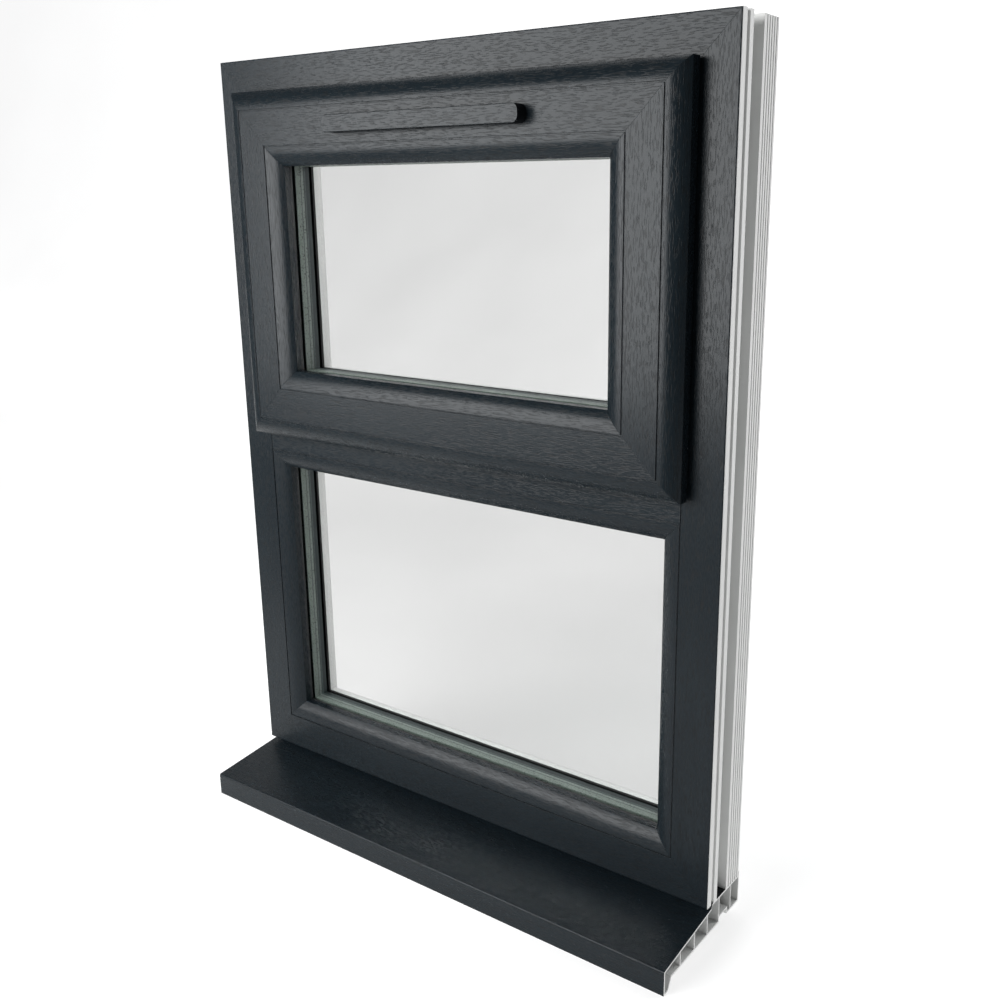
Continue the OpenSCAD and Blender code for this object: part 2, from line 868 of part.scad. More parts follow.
module short_link() {
    difference() {
        arm(short_u, upper_frame_pivot, upper_sash_pivot);
        sunk_bore(short_u, upper_frame_pivot, pivot_play, true);
        sunk_bore(short_u, upper_sash_pivot, loose_play, false);
    }
}

module long_link() {
    difference() {
        arm(long_u, lower_frame_pivot, lower_sash_pivot);
        sunk_bore(long_u, lower_frame_pivot, pivot_play, true);
        sunk_bore(long_u, lower_sash_pivot, pivot_play, false);
    }
}

module sash_link() {
    difference() {
        arm(sash_arm_u, sash_arm_z0, upper_sash_pivot);
        for (z = [lower_sash_pivot, upper_sash_pivot])
            across(sash_arm_u - eps, sash_arm_u + arm_t + eps, z, pivot_d);
        for (z = sash_arm_screw_z) {
            across(sash_arm_u - eps, sash_arm_u + arm_t + eps, z, screw_d + screw_play);
            across(sash_arm_u - eps, sash_arm_u + screw_head_t + screw_play / 2, z,
                   screw_head_d + screw_play);
        }
    }
}

module left_track() {
    color(steel_grey) mirror([1, 0, 0]) track();
}

module right_track() {
    color(steel_grey) track();
}

module left_short_arm() {
    color(steel_grey) mirror([1, 0, 0]) short_link();
}

module right_short_arm() {
    color(steel_grey) short_link();
}

module left_long_arm() {
    color(steel_grey) mirror([1, 0, 0]) long_link();
}

module right_long_arm() {
    color(steel_grey) long_link();
}

module left_sash_arm() {
    color(steel_grey) mirror([1, 0, 0]) sash_link();
}

module right_sash_arm() {
    color(steel_grey) sash_link();
}

// Shouldered pivots riveted in the tracks, with heads sunk flush in the arms.
module frame_pivot(z, u) {
    top = u + arm_t;
    across(track_top - track_t, top - pivot_head_t, z, pivot_d);
    across(track_top, u - boss_gap, z, boss_d);
    across(top - pivot_head_t, top, z, pivot_head_d);
}

module frame_pivots() {
    color(steel_grey)
        both_sides() {
            frame_pivot(upper_frame_pivot, short_u);
            frame_pivot(lower_frame_pivot, long_u);
        }
}

// Shouldered pivots riveted in the sash arms, with heads sunk flush in the frame arms.
module sash_pivot(z, u) {
    across(u + pivot_head_t, sash_arm_u + arm_t, z, pivot_d);
    across(u + arm_t + boss_gap, sash_arm_u, z, boss_d);
    across(u, u + pivot_head_t, z, pivot_head_d);
}

module sash_pivot_pins() {
    color(steel_grey)
        both_sides() {
            sash_pivot(upper_sash_pivot, short_u);
            sash_pivot(lower_sash_pivot, long_u);
        }
}

module track_screws() {
    color(steel_grey)
        both_sides()
            for (z = track_screw_z) {
                across(frame_floor - track_screw_len + eps, track_top, z, screw_d);
                across(track_top, track_top + screw_head_t, z, screw_head_d);
            }
}

module sash_arm_screws() {
    color(steel_grey)
        both_sides()
            for (z = sash_arm_screw_z) {
                across(sash_arm_u + screw_head_t, hardware_u + sash_screw_len - eps, z, screw_d);
                across(sash_arm_u, sash_arm_u + screw_head_t, z, screw_head_d);
            }
}

// A stile with screw holes for the sash arm of the stay.
module sash_stile(side) {
    turn = side == "left" ? 1 : 0;
    difference() {
        sash_member(side);
        mirror([turn, 0, 0])
            for (z = sash_arm_screw_z)
                across(hardware_u - eps, hardware_u + sash_screw_len, z, screw_d + screw_play);
    }
}

module sash_left_stile() {
    color(foil) sash_stile("left");
}

module sash_right_stile() {
    color(foil) sash_stile("right");
}

// The top rail, with two air slots under the canopy.
module sash_top_rail() {
    color(foil)
        difference() {
            sash_member("top");
            for (sx = [-1, 1])
                translate([sx * (slot_len + slot_gap) / 2, 0, slot_z])
                    block([-slot_len / 2, sash_face - eps, -slot_h / 2],
                          [slot_len / 2, sash_back + eps, slot_h / 2]);
        }
}

// A round bar along Y between depths y0 and y1.
module inward(x, z, d, y0, y1) {
    translate([x, y1, z]) rotate([90, 0, 0]) cylinder(d = d, h = y1 - y0);
}

// The bottom rail, with a slot for the gearbox and holes for the spindle and the handle's screws.
module sash_bottom_rail() {
    slot = gearbox_len / 2 + fit_play;
    color(foil)
        difference() {
            sash_member("bottom");
            block([-slot, bar_y - gearbox_w / 2 - fit_play, hardware_z - eps],
                  [slot, bar_y + gearbox_w / 2 + fit_play, gearbox_top + fit_play]);
            inward(0, spindle_z, spindle_bore, bar_y, sash_back + eps);
            for (sx = [-1, 1])
                inward(sx * handle_screw_x, spindle_z, handle_screw_d + fit_play, bar_y, sash_back + eps);
        }
}

// Case of the lock, let into the bottom rail, with threaded posts for the handle's screws.
module lock_gearbox() {
    color(steel_grey)
        difference() {
            block([-gearbox_len / 2, bar_y - gearbox_w / 2, hardware_z],
                  [gearbox_len / 2, bar_y + gearbox_w / 2, gearbox_top]);
            inward(0, spindle_z, spindle_bore, bar_y - gearbox_w, bar_y + gearbox_w);
            for (sx = [-1, 1])
                inward(sx * handle_screw_x, spindle_z, handle_screw_d + pivot_play,
                       bar_y - gearbox_w, bar_y + gearbox_w);
        }
}

module drive_bar() {
    color(steel_grey)
        difference() {
            block([-bar_len / 2 - bar_travel / 2, bar_y - bar_w / 2, bar_z0],
                  [bar_len / 2 - bar_travel / 2, bar_y + bar_w / 2, bar_z1]);
            at_cams() translate([0, 0, -eps]) cylinder(d = pivot_d, h = bar_t + 2 * eps);
        }
}

// The places of the cams on the lower face of the drive bar, with the lock open.
module at_cams() {
    for (sx = [-1, 1])
        translate([sx * cam_x - bar_travel, bar_y, bar_z0]) children();
}

module lock_cams() {
    color(steel_grey)
        at_cams() {
            cylinder(d = pivot_d, h = bar_t);
            translate([0, 0, cam_z0 - bar_z0]) cylinder(d = cam_d, h = bar_z0 - cam_z0);
        }
}

module at_keeps() {
    for (sx = [-1, 1])
        translate([sx * keep_x, bar_y, 0]) children();
}

module keep_holes(depth, top) {
    for (sx = [-1, 1])
        translate([sx * keep_screw_x, 0, top - depth])
            cylinder(d = screw_d + screw_play, h = depth + 2 * keep_base_t);
}

// Keep on the transom: a base with two screws and a raised hook that the cam slides behind.
module lock_keeps() {
    color(steel_grey)
        difference() {
            at_keeps() {
                block([-keep_len / 2, -keep_w / 2, keep_floor],
                      [keep_len / 2, keep_w / 2, keep_floor + keep_base_t]);
                block([-keep_len / 2 + cam_d, keep_hook_y0 - bar_y, keep_floor],
                      [keep_len / 2, keep_hook_y0 + keep_hook_t - bar_y, keep_hook_top]);
            }
            at_keeps() keep_holes(keep_screw_len, keep_floor);
        }
}

module keep_screws() {
    top = keep_floor + keep_base_t;
    color(steel_grey)
        at_keeps()
            for (sx = [-1, 1])
                translate([sx * keep_screw_x, 0, 0]) {
                    translate([0, 0, keep_floor - keep_screw_len + eps])
                        cylinder(d = screw_d, h = keep_screw_len + keep_base_t - eps);
                    translate([0, 0, top]) cylinder(d = screw_head_d, h = screw_head_t);
                }
}

// Oblong base of the handle on the inner face of the bottom rail, with round ends.
module handle_base() {
    end = base_len / 2 - base_h / 2;
    color(white_plastic)
        difference() {
            union() {
                for (sx = [-1, 1])
                    inward(sx * end, spindle_z, base_h, sash_back, sash_back + base_t);
                block([-end, sash_back, spindle_z - base_h / 2],
                      [end, sash_back + base_t, spindle_z + base_h / 2]);
            }
            inward(0, spindle_z, spindle_bore, sash_back - eps, sash_back + base_t + eps);
            for (sx = [-1, 1]) {
                inward(sx * handle_screw_x, spindle_z, handle_screw_d + fit_play,
                       sash_back - eps, sash_back + base_t + eps);
                inward(sx * handle_screw_x, spindle_z, handle_screw_head + fit_play,
                       sash_back + base_t - handle_screw_sink, sash_back + base_t + eps);
            }
        }
}

module handle_screws() {
    seat = sash_back + base_t - handle_screw_sink;
    color(steel_grey)
        for (sx = [-1, 1]) {
            inward(sx * handle_screw_x, spindle_z, handle_screw_d, seat - handle_screw_len, seat);
            inward(sx * handle_screw_x, spindle_z, handle_screw_head, seat, seat + handle_head_t);
        }
}

// Square spindle from the lever through the base into the gearbox.
module handle_spindle() {
    color(steel_grey)
        translate([-spindle_w / 2, bar_y - gearbox_w / 2, spindle_z - spindle_w / 2])
            cube([spindle_w, sash_back + base_t + lever_rise / 2 - bar_y + gearbox_w / 2, spindle_w]);
}

// Lever that lies along the rail: a turned neck and a grip that widens towards its round end.
module handle_lever() {
    neck_d = 19;
    grip_t = 13;
    root_d = 16;
    root_x = 41;
    tip_d = 19;
    y0 = sash_back + base_t + flap_play;
    y1 = y0 + lever_rise;
    socket = spindle_w + pivot_play;
    color(white_plastic)
        difference() {
            union() {
                inward(0, spindle_z, neck_d, y0, y1 + grip_t / 2);
                hull() {
                    inward(0, spindle_z, neck_d, y1, y1 + grip_t, $fn = 32);
                    inward(root_x, spindle_z, root_d, y1 + 1, y1 + grip_t, $fn = 32);
                }
                hull() {
                    inward(root_x, spindle_z, root_d, y1 + 1, y1 + grip_t, $fn = 32);
                    inward(lever_len - tip_d / 2, spindle_z, tip_d, y1 + 2, y1 + grip_t, $fn = 32);
                }
            }
            translate([-socket / 2, y0 - eps, spindle_z - socket / 2])
                cube([socket, lever_rise / 2 - flap_play + eps + pivot_play, socket]);
        }
}

// Rounded outline of a vent moulding in the face plane.
module round_box(len, h, r) {
    for (sx = [-1, 1], sz = [-1, 1])
        translate([sx * (len / 2 - r), sz * (h / 2 - r)]) circle(r);
    square([len - 2 * r, h], center = true);
    square([len, h - 2 * r], center = true);
}

// A slab with a rounded outline, from depth y0 to y1.
module slab(len, h, r, z, y0, y1) {
    translate([0, y1, z]) rotate([90, 0, 0]) linear_extrude(y1 - y0) round_box(len, h, r);
}

// A bar along X whose front edges are rounded in section.
module nosed_bar(len, h, r, z, y0, y1) {
    translate([-len / 2, 0, z])
        rotate([90, 0, 90])
            linear_extrude(len) {
                area([y0 + r, -h / 2], [y1, h / 2]);
                area([y0, r - h / 2], [y1, h / 2 - r]);
                for (sz = [-1, 1])
                    translate([y0 + r, sz * (h / 2 - r)]) circle(r);
            }
}

// Hood over the air slots, open at the back and along its underside.
module vent_canopy() {
    y0 = sash_face - canopy_proj;
    edge = 0.8;
    mouth = 5.4;
    color(foil)
        difference() {
            intersection() {
                slab(canopy_len, canopy_h, canopy_r, canopy_z, y0, sash_face);
                nosed_bar(canopy_len, canopy_h, edge, canopy_z, y0, sash_face);
            }
            slab(canopy_len - 2 * vent_wall, canopy_h - 2 * vent_wall, canopy_r - vent_wall, canopy_z,
                 y0 + vent_wall, sash_face + eps);
            for (sx = [-1, 1])
                translate([sx * (slot_len + slot_gap) / 2, 0, 0])
                    block([-slot_len / 2, sash_face - mouth - vent_wall, canopy_z - canopy_h / 2 - eps],
                          [slot_len / 2, sash_face - vent_wall, canopy_z - canopy_h / 2 + 2 * vent_wall]);
        }
}

// Inner housing of the vent: a shallow box round the slots with a mouth that the flap covers.
module vent_housing() {
    y0 = sash_back;
    y1 = sash_back + vent_d;
    color(white_plastic)
        difference() {
            slab(vent_len, vent_h, vent_r, vent_z, y0, y1);
            block([-vent_mouth_len / 2, y0 - eps, vent_mouth_z0],
                  [vent_mouth_len / 2, y1 + eps, vent_mouth_z0 + vent_mouth_h]);
            flap_pin(flap_pin_d + pivot_play, flap_ear);
        }
}

// The pin of the flap, reaching past both ends of the mouth.
module flap_pin(d, ear) {
    translate([-vent_mouth_len / 2 - ear, flap_pin_y, flap_pin_z])
        rotate([0, 90, 0])
            cylinder(d = d, h = vent_mouth_len + 2 * ear);
}

// Flap in the mouth of the housing, on a pin along its lower edge, with a finger tab on its top.
module vent_flap() {
    half = vent_mouth_len / 2 - flap_play;
    top = vent_mouth_z0 + vent_mouth_h - flap_play;
    color(white_plastic)
        union() {
            flap_pin(flap_pin_d, flap_ear - flap_play);
            block([-half, flap_pin_y - flap_t / 2, flap_pin_z],
                  [half, flap_pin_y + flap_t / 2, top]);
            block([-flap_tab_len / 2, flap_pin_y, top - flap_t],
                  [flap_tab_len / 2, flap_pin_y + flap_pin_d + flap_tab_d, top]);
        }
}

module fixed_top_bead() {
    fixed_bead("top");
}

module fixed_bottom_bead() {
    fixed_bead("bottom");
}

module fixed_left_bead() {
    fixed_bead("left");
}

module fixed_right_bead() {
    fixed_bead("right");
}

module sash_top_bead() {
    sash_bead("top");
}

module sash_bottom_bead() {
    sash_bead("bottom");
}

module sash_left_bead() {
    sash_bead("left");
}

module sash_right_bead() {
    sash_bead("right");
}

frame_head();
frame_left_jamb();
frame_right_jamb();
frame_bottom_rail();
transom();
transom_steel();
sill();
fixed_outer_pane();
fixed_inner_pane();
fixed_spacer();
fixed_sealant();
fixed_outer_gasket();
fixed_inner_gasket();
fixed_packers();
fixed_top_bead();
fixed_bottom_bead();
fixed_left_bead();
fixed_right_bead();
sash_top_rail();
sash_bottom_rail();
sash_left_stile();
sash_right_stile();
sash_seal();
sash_outer_pane();
sash_inner_pane();
sash_spacer();
sash_sealant();
sash_outer_gasket();
sash_inner_gasket();
sash_packers();
sash_top_bead();
sash_bottom_bead();
sash_left_bead();
sash_right_bead();
left_track();
right_track();
left_short_arm();
right_short_arm();
left_long_arm();
right_long_arm();
left_sash_arm();
right_sash_arm();
frame_pivots();
sash_pivot_pins();
track_screws();
sash_arm_screws();
handle_base();
handle_lever();
handle_spindle();
handle_screws();
lock_gearbox();
drive_bar();
lock_cams();
lock_keeps();
keep_screws();
vent_canopy();
vent_housing();
vent_flap();
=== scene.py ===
"""Looks of the top-hung window, in a plain pale studio.

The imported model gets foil, white plastic, glass, rubber and steel. No shape is added to it.
"""

import math

import bpy
from mathutils import Matrix, Vector


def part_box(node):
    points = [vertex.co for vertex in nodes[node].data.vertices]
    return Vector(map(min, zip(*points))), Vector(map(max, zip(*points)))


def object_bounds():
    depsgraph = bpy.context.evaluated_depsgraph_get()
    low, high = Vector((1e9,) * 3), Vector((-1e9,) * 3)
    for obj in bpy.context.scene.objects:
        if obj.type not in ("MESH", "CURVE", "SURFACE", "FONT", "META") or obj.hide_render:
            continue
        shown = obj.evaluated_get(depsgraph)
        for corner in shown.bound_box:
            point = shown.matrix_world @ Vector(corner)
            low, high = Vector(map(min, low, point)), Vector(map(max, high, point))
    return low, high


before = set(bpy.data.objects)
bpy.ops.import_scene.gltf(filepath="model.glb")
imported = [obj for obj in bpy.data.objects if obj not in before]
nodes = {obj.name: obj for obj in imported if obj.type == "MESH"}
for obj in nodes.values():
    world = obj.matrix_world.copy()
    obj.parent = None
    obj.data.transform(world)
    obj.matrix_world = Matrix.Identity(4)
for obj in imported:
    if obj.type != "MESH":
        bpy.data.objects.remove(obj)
cad_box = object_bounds()
scene = bpy.context.scene
MM = 0.001
BEVEL_SAMPLES = 4


class Tree:
    """A material's node tree, built by calls that return sockets."""

    def __init__(self, name):
        self.mat = bpy.data.materials.new(name)
        self.mat.use_nodes = True
        self.nodes = self.mat.node_tree.nodes
        self.links = self.mat.node_tree.links
        self.shader = self.nodes["Principled BSDF"]

    def put(self, socket, value):
        """Links value where it is a socket, and sets it where it is a number or colour."""
        if isinstance(value, bpy.types.NodeSocket):
            self.links.new(value, socket)
        else:
            socket.default_value = value

    def set(self, **values):
        """Fills the shader's inputs, whose names have _ for a space."""
        for name, value in values.items():
            self.put(self.shader.inputs[name.replace("_", " ")], value)

    def coords(self):
        """Places on the piece itself, in metres."""
        return self.nodes.new("ShaderNodeTexCoord").outputs["Object"]

    def vector(self, operation, a, b):
        n = self.nodes.new("ShaderNodeVectorMath")
        n.operation = operation
        self.put(n.inputs[0], a)
        self.put(n.inputs[1], b)
        return n.outputs[0]

    def math(self, operation, a, b):
        n = self.nodes.new("ShaderNodeMath")
        n.operation = operation
        self.put(n.inputs[0], a)
        self.put(n.inputs[1], b)
        return n.outputs[0]

    def noise(self, vector, scale, detail):
        n = self.nodes.new("ShaderNodeTexNoise")
        self.put(n.inputs["Vector"], vector)
        self.put(n.inputs["Scale"], scale)
        self.put(n.inputs["Detail"], detail)
        return n.outputs["Fac"]

    def ramp(self, value, low, high, to_low=0.0, to_high=1.0):
        """A smooth step from to_low, where value is low, to to_high."""
        n = self.nodes.new("ShaderNodeMapRange")
        n.interpolation_type = "SMOOTHSTEP"
        self.put(n.inputs["Value"], value)
        self.put(n.inputs["From Min"], low)
        self.put(n.inputs["From Max"], high)
        self.put(n.inputs["To Min"], to_low)
        self.put(n.inputs["To Max"], to_high)
        return n.outputs["Result"]

    def mix(self, factor, a, b):
        """Colour a where factor is 0 and b where it is 1."""
        n = self.nodes.new("ShaderNodeMix")
        n.data_type = "RGBA"
        self.put(n.inputs["Factor"], factor)
        self.put(n.inputs["A"], (*a, 1.0) if isinstance(a, tuple) else a)
        self.put(n.inputs["B"], (*b, 1.0) if isinstance(b, tuple) else b)
        return n.outputs["Result"]

    def bump(self, height, distance, edge=0.0):
        """Relief of this depth, on a surface whose edges look rounded by edge."""
        n = self.nodes.new("ShaderNodeBump")
        if edge:
            rounded = self.nodes.new("ShaderNodeBevel")
            rounded.samples = BEVEL_SAMPLES
            rounded.inputs["Radius"].default_value = edge
            self.put(n.inputs["Normal"], rounded.outputs["Normal"])
        self.put(n.inputs["Height"], height)
        self.put(n.inputs["Distance"], distance)
        self.put(n.inputs["Strength"], 1.0)
        self.put(self.shader.inputs["Normal"], n.outputs["Normal"])


def stretched(tree, along, length, width):
    """Object coordinates in which a cell is length long on the axis along and width wide across it."""
    scale = [1 / width] * 3
    scale["XYZ".index(along)] = 1 / length
    return tree.vector("MULTIPLY", tree.coords(), tuple(scale))


def foil(along):
    """Anthracite foil with an embossed wood grain of short wavy pores along one axis."""
    t = Tree("foil_grain_" + along.lower())
    across = tuple(0.0 if axis == along else 1.0 for axis in "XYZ")
    sway_cell, pore_cell, fine_cell, tone_cell = (0.030, 0.011), (0.0098, 0.00092), (0.006, 0.0007), (0.16, 0.03)
    sway_in_pores = 3.0
    sway = t.noise(stretched(t, along, *sway_cell), 1.0, 1.0)
    sway = t.math("MULTIPLY", t.math("SUBTRACT", sway, 0.5), sway_in_pores)
    shift = t.nodes.new("ShaderNodeVectorMath")
    shift.operation = "SCALE"
    shift.inputs[0].default_value = across
    t.put(shift.inputs["Scale"], sway)
    grain = t.vector("ADD", stretched(t, along, *pore_cell), shift.outputs[0])
    pores = t.ramp(t.noise(grain, 1.0, 1.0), 0.52, 0.66)
    fine = t.noise(stretched(t, along, *fine_cell), 1.0, 2.0)
    tone = t.noise(stretched(t, along, *tone_cell), 1.0, 2.0)
    base = t.mix(t.ramp(tone, 0.3, 0.7), (0.0050, 0.0082, 0.0108), (0.0064, 0.0102, 0.0130))
    t.set(
        Base_Color=t.mix(pores, base, (0.0040, 0.0056, 0.0068)),
        Roughness=t.math("ADD", t.ramp(fine, 0.3, 0.7, 0.235, 0.31), t.math("MULTIPLY", pores, 0.115)),
        Specular_IOR_Level=0.165,
    )
    height = t.math("SUBTRACT", t.math("MULTIPLY", fine, 0.22), pores)
    t.bump(height, 0.07 * MM, edge=0.6 * MM)
    return t.mat


def groove(name, dark, light):
    """A flat, dull foil colour without the gloss of the face, for sides of quirk lines: painted shade where dark,
    painted light where light.
    """
    t = Tree(name)
    dust = t.noise(t.coords(), 800.0, 2.0)
    t.set(
        Base_Color=t.mix(dust, dark, light),
        Roughness=t.ramp(dust, 0.3, 0.7, 0.55, 0.7),
        Specular_IOR_Level=0.08,
    )
    return t.mat


def white_plastic():
    """White extruded plastic with a satin skin and faint die lines, with painted shade that makes its room-side
    faces greyer.
    """
    t = Tree("white_plastic")
    tone = t.noise(t.coords(), 9.0, 3.0)
    lines = t.noise(t.coords(), 900.0, 1.0)
    split = t.nodes.new("ShaderNodeSeparateXYZ")
    t.put(split.inputs[0], t.nodes.new("ShaderNodeTexCoord").outputs["Normal"])
    tone = t.ramp(tone, 0.3, 0.7)
    outside = t.mix(tone, (0.68, 0.685, 0.675), (0.72, 0.725, 0.715))
    # Painted shade: faces turned to the room side get a greyer copy of the same white.
    shaded_room_side = t.mix(tone, (0.50, 0.505, 0.495), (0.54, 0.545, 0.535))
    t.set(
        Base_Color=t.mix(t.ramp(split.outputs["Y"], 0.2, 0.8), outside, shaded_room_side),
        Roughness=t.ramp(tone, 0.0, 1.0, 0.30, 0.38),
        Specular_IOR_Level=0.4,
    )
    t.bump(lines, 0.03 * MM)
    return t.mat


def rubber():
    """Black gasket rubber with a fine grit."""
    t = Tree("gasket_rubber")
    grit = t.noise(t.coords(), 1400.0, 2.0)
    t.set(
        Base_Color=t.mix(grit, (0.006, 0.006, 0.007), (0.014, 0.0145, 0.015)),
        Roughness=t.ramp(grit, 0.3, 0.7, 0.5, 0.66),
        Specular_IOR_Level=0.3,
    )
    t.bump(grit, 0.05 * MM)
    return t.mat


def spacer(node):
    """The bar between the panes: grey-green with darker lines along it, and dark by the inner pane."""
    t = Tree("spacer_bar_" + node.split("_")[0])
    low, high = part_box(node)
    split = t.nodes.new("ShaderNodeSeparateXYZ")
    t.put(split.inputs[0], t.coords())
    depth = t.ramp(split.outputs["Y"], low.y, high.y)
    pits = t.noise(t.coords(), 700.0, 1.0)
    body = t.mix(t.ramp(depth, 0.05, 0.45), (0.117, 0.141, 0.126), (0.133, 0.155, 0.145))
    body = t.mix(t.ramp(depth, 0.56, 0.62), body, (0.018, 0.025, 0.026))
    green_line, grey_line = (0.30, 0.03, (0.040, 0.052, 0.047)), (0.74, 0.05, (0.046, 0.062, 0.062))
    outer, inner = 0.04, 0.02  # how far a line's edge fades, away from its middle and toward it
    for at, half, colour in (green_line, grey_line):
        rise = t.ramp(depth, at - half - outer, at - half + inner)
        fall = t.ramp(depth, at + half - inner, at + half + outer, 1.0, 0.0)
        body = t.mix(t.math("MULTIPLY", rise, fall), body, colour)
    t.set(
        Base_Color=t.mix(t.ramp(pits, 0.6, 0.66), body, (0.020, 0.025, 0.024)),
        Roughness=t.ramp(pits, 0.3, 0.7, 0.42, 0.55),
        Specular_IOR_Level=0.2,
    )
    t.bump(pits, 0.08 * MM)
    return t.mat


def glass():
    """Float glass: clear, a little grey, without mirror images, and open to the light of the lamps."""
    t = Tree("float_glass")
    waves = t.noise(t.coords(), 6.0, 1.0)
    t.set(
        Base_Color=t.mix(waves, (0.793, 0.794, 0.792), (0.801, 0.802, 0.800)),
        Roughness=0.0,
        IOR=1.0,
        Transmission_Weight=1.0,
    )
    lamps = t.nodes.new("ShaderNodeBsdfTransparent")
    lamps.inputs["Color"].default_value = (0.93, 0.95, 0.945, 1.0)
    path = t.nodes.new("ShaderNodeLightPath")
    both = t.nodes.new("ShaderNodeMixShader")
    t.put(both.inputs[0], path.outputs["Is Shadow Ray"])
    t.put(both.inputs[1], t.shader.outputs[0])
    t.put(both.inputs[2], lamps.outputs[0])
    t.put(t.nodes["Material Output"].inputs["Surface"], both.outputs[0])
    return t.mat


def steel(name, colour, along, rough):
    """Metal with fine lines along one axis."""
    t = Tree(name)
    lines = t.noise(stretched(t, along, 0.03, 0.0004), 1.0, 2.0)
    spots = t.noise(t.coords(), 60.0, 3.0)
    dark = tuple(c * 0.8 for c in colour)
    t.set(
        Base_Color=t.mix(t.ramp(spots, 0.3, 0.7), dark, colour),
        Metallic=1.0,
        Roughness=t.ramp(lines, 0.3, 0.7, rough - 0.07, rough + 0.07),
    )
    t.bump(lines, 0.04 * MM)
    return t.mat


def moulded(name, dark, light, rough, grain=500.0):
    """Moulded or coated surface with a fine texture."""
    t = Tree(name)
    tone = t.noise(t.coords(), 14.0, 3.0)
    fine = t.noise(t.coords(), grain, 2.0)
    t.set(
        Base_Color=t.mix(t.ramp(tone, 0.3, 0.7), dark, light),
        Roughness=t.ramp(fine, 0.3, 0.7, rough - 0.05, rough + 0.05),
    )
    t.bump(fine, 0.04 * MM)
    return t.mat


FOIL_X = foil("X")
FOIL_Z = foil("Z")
# Painted shade: a dark, dull copy of the foil for quirk line sides and the vent canopy's outline. Painted light: a
# light grey copy for quirk line sides that face the light.
SHADE_PAINTED_FOIL = groove("foil_painted_shade", (0.0030, 0.0040, 0.0050), (0.0070, 0.0085, 0.0100))
LIGHT_PAINTED_FOIL = groove("foil_painted_light", (0.130, 0.140, 0.147), (0.160, 0.171, 0.179))
WHITE = white_plastic()
RUBBER = rubber()
GLASS = glass()
STAINLESS = steel("stainless_steel", (0.62, 0.62, 0.61), "Z", 0.32)
ZINC_X = steel("zinc_plated_steel", (0.58, 0.60, 0.62), "X", 0.36)
PACKER = moulded("packer_plastic", (0.035, 0.14, 0.36), (0.05, 0.18, 0.44), 0.45)
COATED = moulded("white_coating", (0.55, 0.55, 0.54), (0.60, 0.60, 0.59), 0.3, 900.0)


def paint(node, *materials):
    """Gives a CAD node these materials, all its faces the first."""
    mesh = nodes[node].data
    mesh.materials.clear()
    for material in materials:
        mesh.materials.append(material)
    for face in mesh.polygons:
        face.material_index = 0
    return mesh


FOIL, PLASTIC, PAINTED_SHADE_SIDE, PAINTED_LIGHT_SIDE = range(4)  # the materials of a profile, in order
GROOVE_FROM, GROOVE_TO = 0.05 * MM, 0.9 * MM  # below the flat face
EDGE_REACH = 0.3 * MM  # how near a sight edge its faces lie
SIDE_REACH = 30 * MM  # in front of the mouldings' end


def paint_profile(node, grain, tip, front, tip_back, face_end, side_end):
    """White profile with foil on its outer face.

    tip is the axis, sign and place of each sight edge. The rest are depths: front of the flat face, tip_back of the
    foil's end at a sight edge, face_end of the mouldings' end, and side_end of the foil's end on the outer edge.
    """
    low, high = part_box(node)
    mesh = paint(node, grain, WHITE, SHADE_PAINTED_FOIL, LIGHT_PAINTED_FOIL)
    for face in mesh.polygons:
        c, n = face.center, face.normal
        on_face = n.y < -0.6 and c.y < face_end
        a, s, at = min(tip, key=lambda edge: abs(c[edge[0]] - edge[2]))
        off_flat = s if abs(c[a] - at) < (high[a] - low[a]) / 2 else -s
        on_groove = front + GROOVE_FROM < c.y < front + GROOVE_TO and abs(n.y) < 0.05
        on_tip = c.y < tip_back and any(abs(c[b] - end) < EDGE_REACH and n[b] * way > 0.7 for b, way, end in tip)
        on_side = abs(n.y) < 0.3 and face_end - SIDE_REACH < c.y < side_end and not on_tip
        # Painted shade on groove walls that face away from the flat face; painted light on the other walls where
        # the sight edge lies on the X axis, elsewhere those keep the foil.
        if on_groove and n[a] * off_flat > 0.0:
            face.material_index = PAINTED_SHADE_SIDE
        elif on_groove:
            face.material_index = PAINTED_LIGHT_SIDE if a == 0 else FOIL
        else:
            face.material_index = FOIL if on_face or on_tip or on_side else PLASTIC


def sight_edges(node, sides):
    """The sight edges of a member, as axis, sign of the normal and place."""
    low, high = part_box(node)
    return [(a, s, (high if s > 0 else low)[a]) for a, s in sides]


LEFT, RIGHT, UP, DOWN = (0, -1), (0, 1), (2, 1), (2, -1)
FRAME_DEPTHS = (0.0, 16.6 * MM, 8.7 * MM, 0.0)
SASH_DEPTHS = (-25.0 * MM, -8.4 * MM, -14.9 * MM, -4.2 * MM)
for node, grain, sides in (
    ("frame_head", FOIL_X, [DOWN]),
    ("frame_bottom_rail", FOIL_X, [UP]),
    ("frame_left_jamb", FOIL_Z, [RIGHT]),
    ("frame_right_jamb", FOIL_Z, [LEFT]),
    ("transom", FOIL_X, [UP, DOWN]),
):
    paint_profile(node, grain, sight_edges(node, sides), *FRAME_DEPTHS)
for node, grain, sides in (
    ("sash_top_rail", FOIL_X, [DOWN]),
    ("sash_bottom_rail", FOIL_X, [UP]),
    ("sash_left_stile", FOIL_Z, [RIGHT]),
    ("sash_right_stile", FOIL_Z, [LEFT]),
):
    paint_profile(node, grain, sight_edges(node, sides), *SASH_DEPTHS)

SILL_TOP_FROM, SILL_BACK_FROM, SILL_NOSE_TO = 11 * MM, 69 * MM, -82 * MM
mesh = paint("sill", FOIL_X, WHITE)
for face in mesh.polygons:
    c, n = face.center, face.normal
    on_top = n.z > 0.25 and c.z > SILL_TOP_FROM and c.y < SILL_BACK_FROM
    on_nose = c.y < SILL_NOSE_TO and n.y < -0.2
    face.material_index = 0 if on_top or on_nose else 1

# Painted shade: the canopy's sides and rounded arrises take the dark groove colour as an outline; only the front
# keeps the foil.
mesh = paint("vent_canopy", FOIL_X, SHADE_PAINTED_FOIL)
for face in mesh.polygons:
    on_front = face.normal.y < -0.85
    face.material_index = 0 if on_front else 1

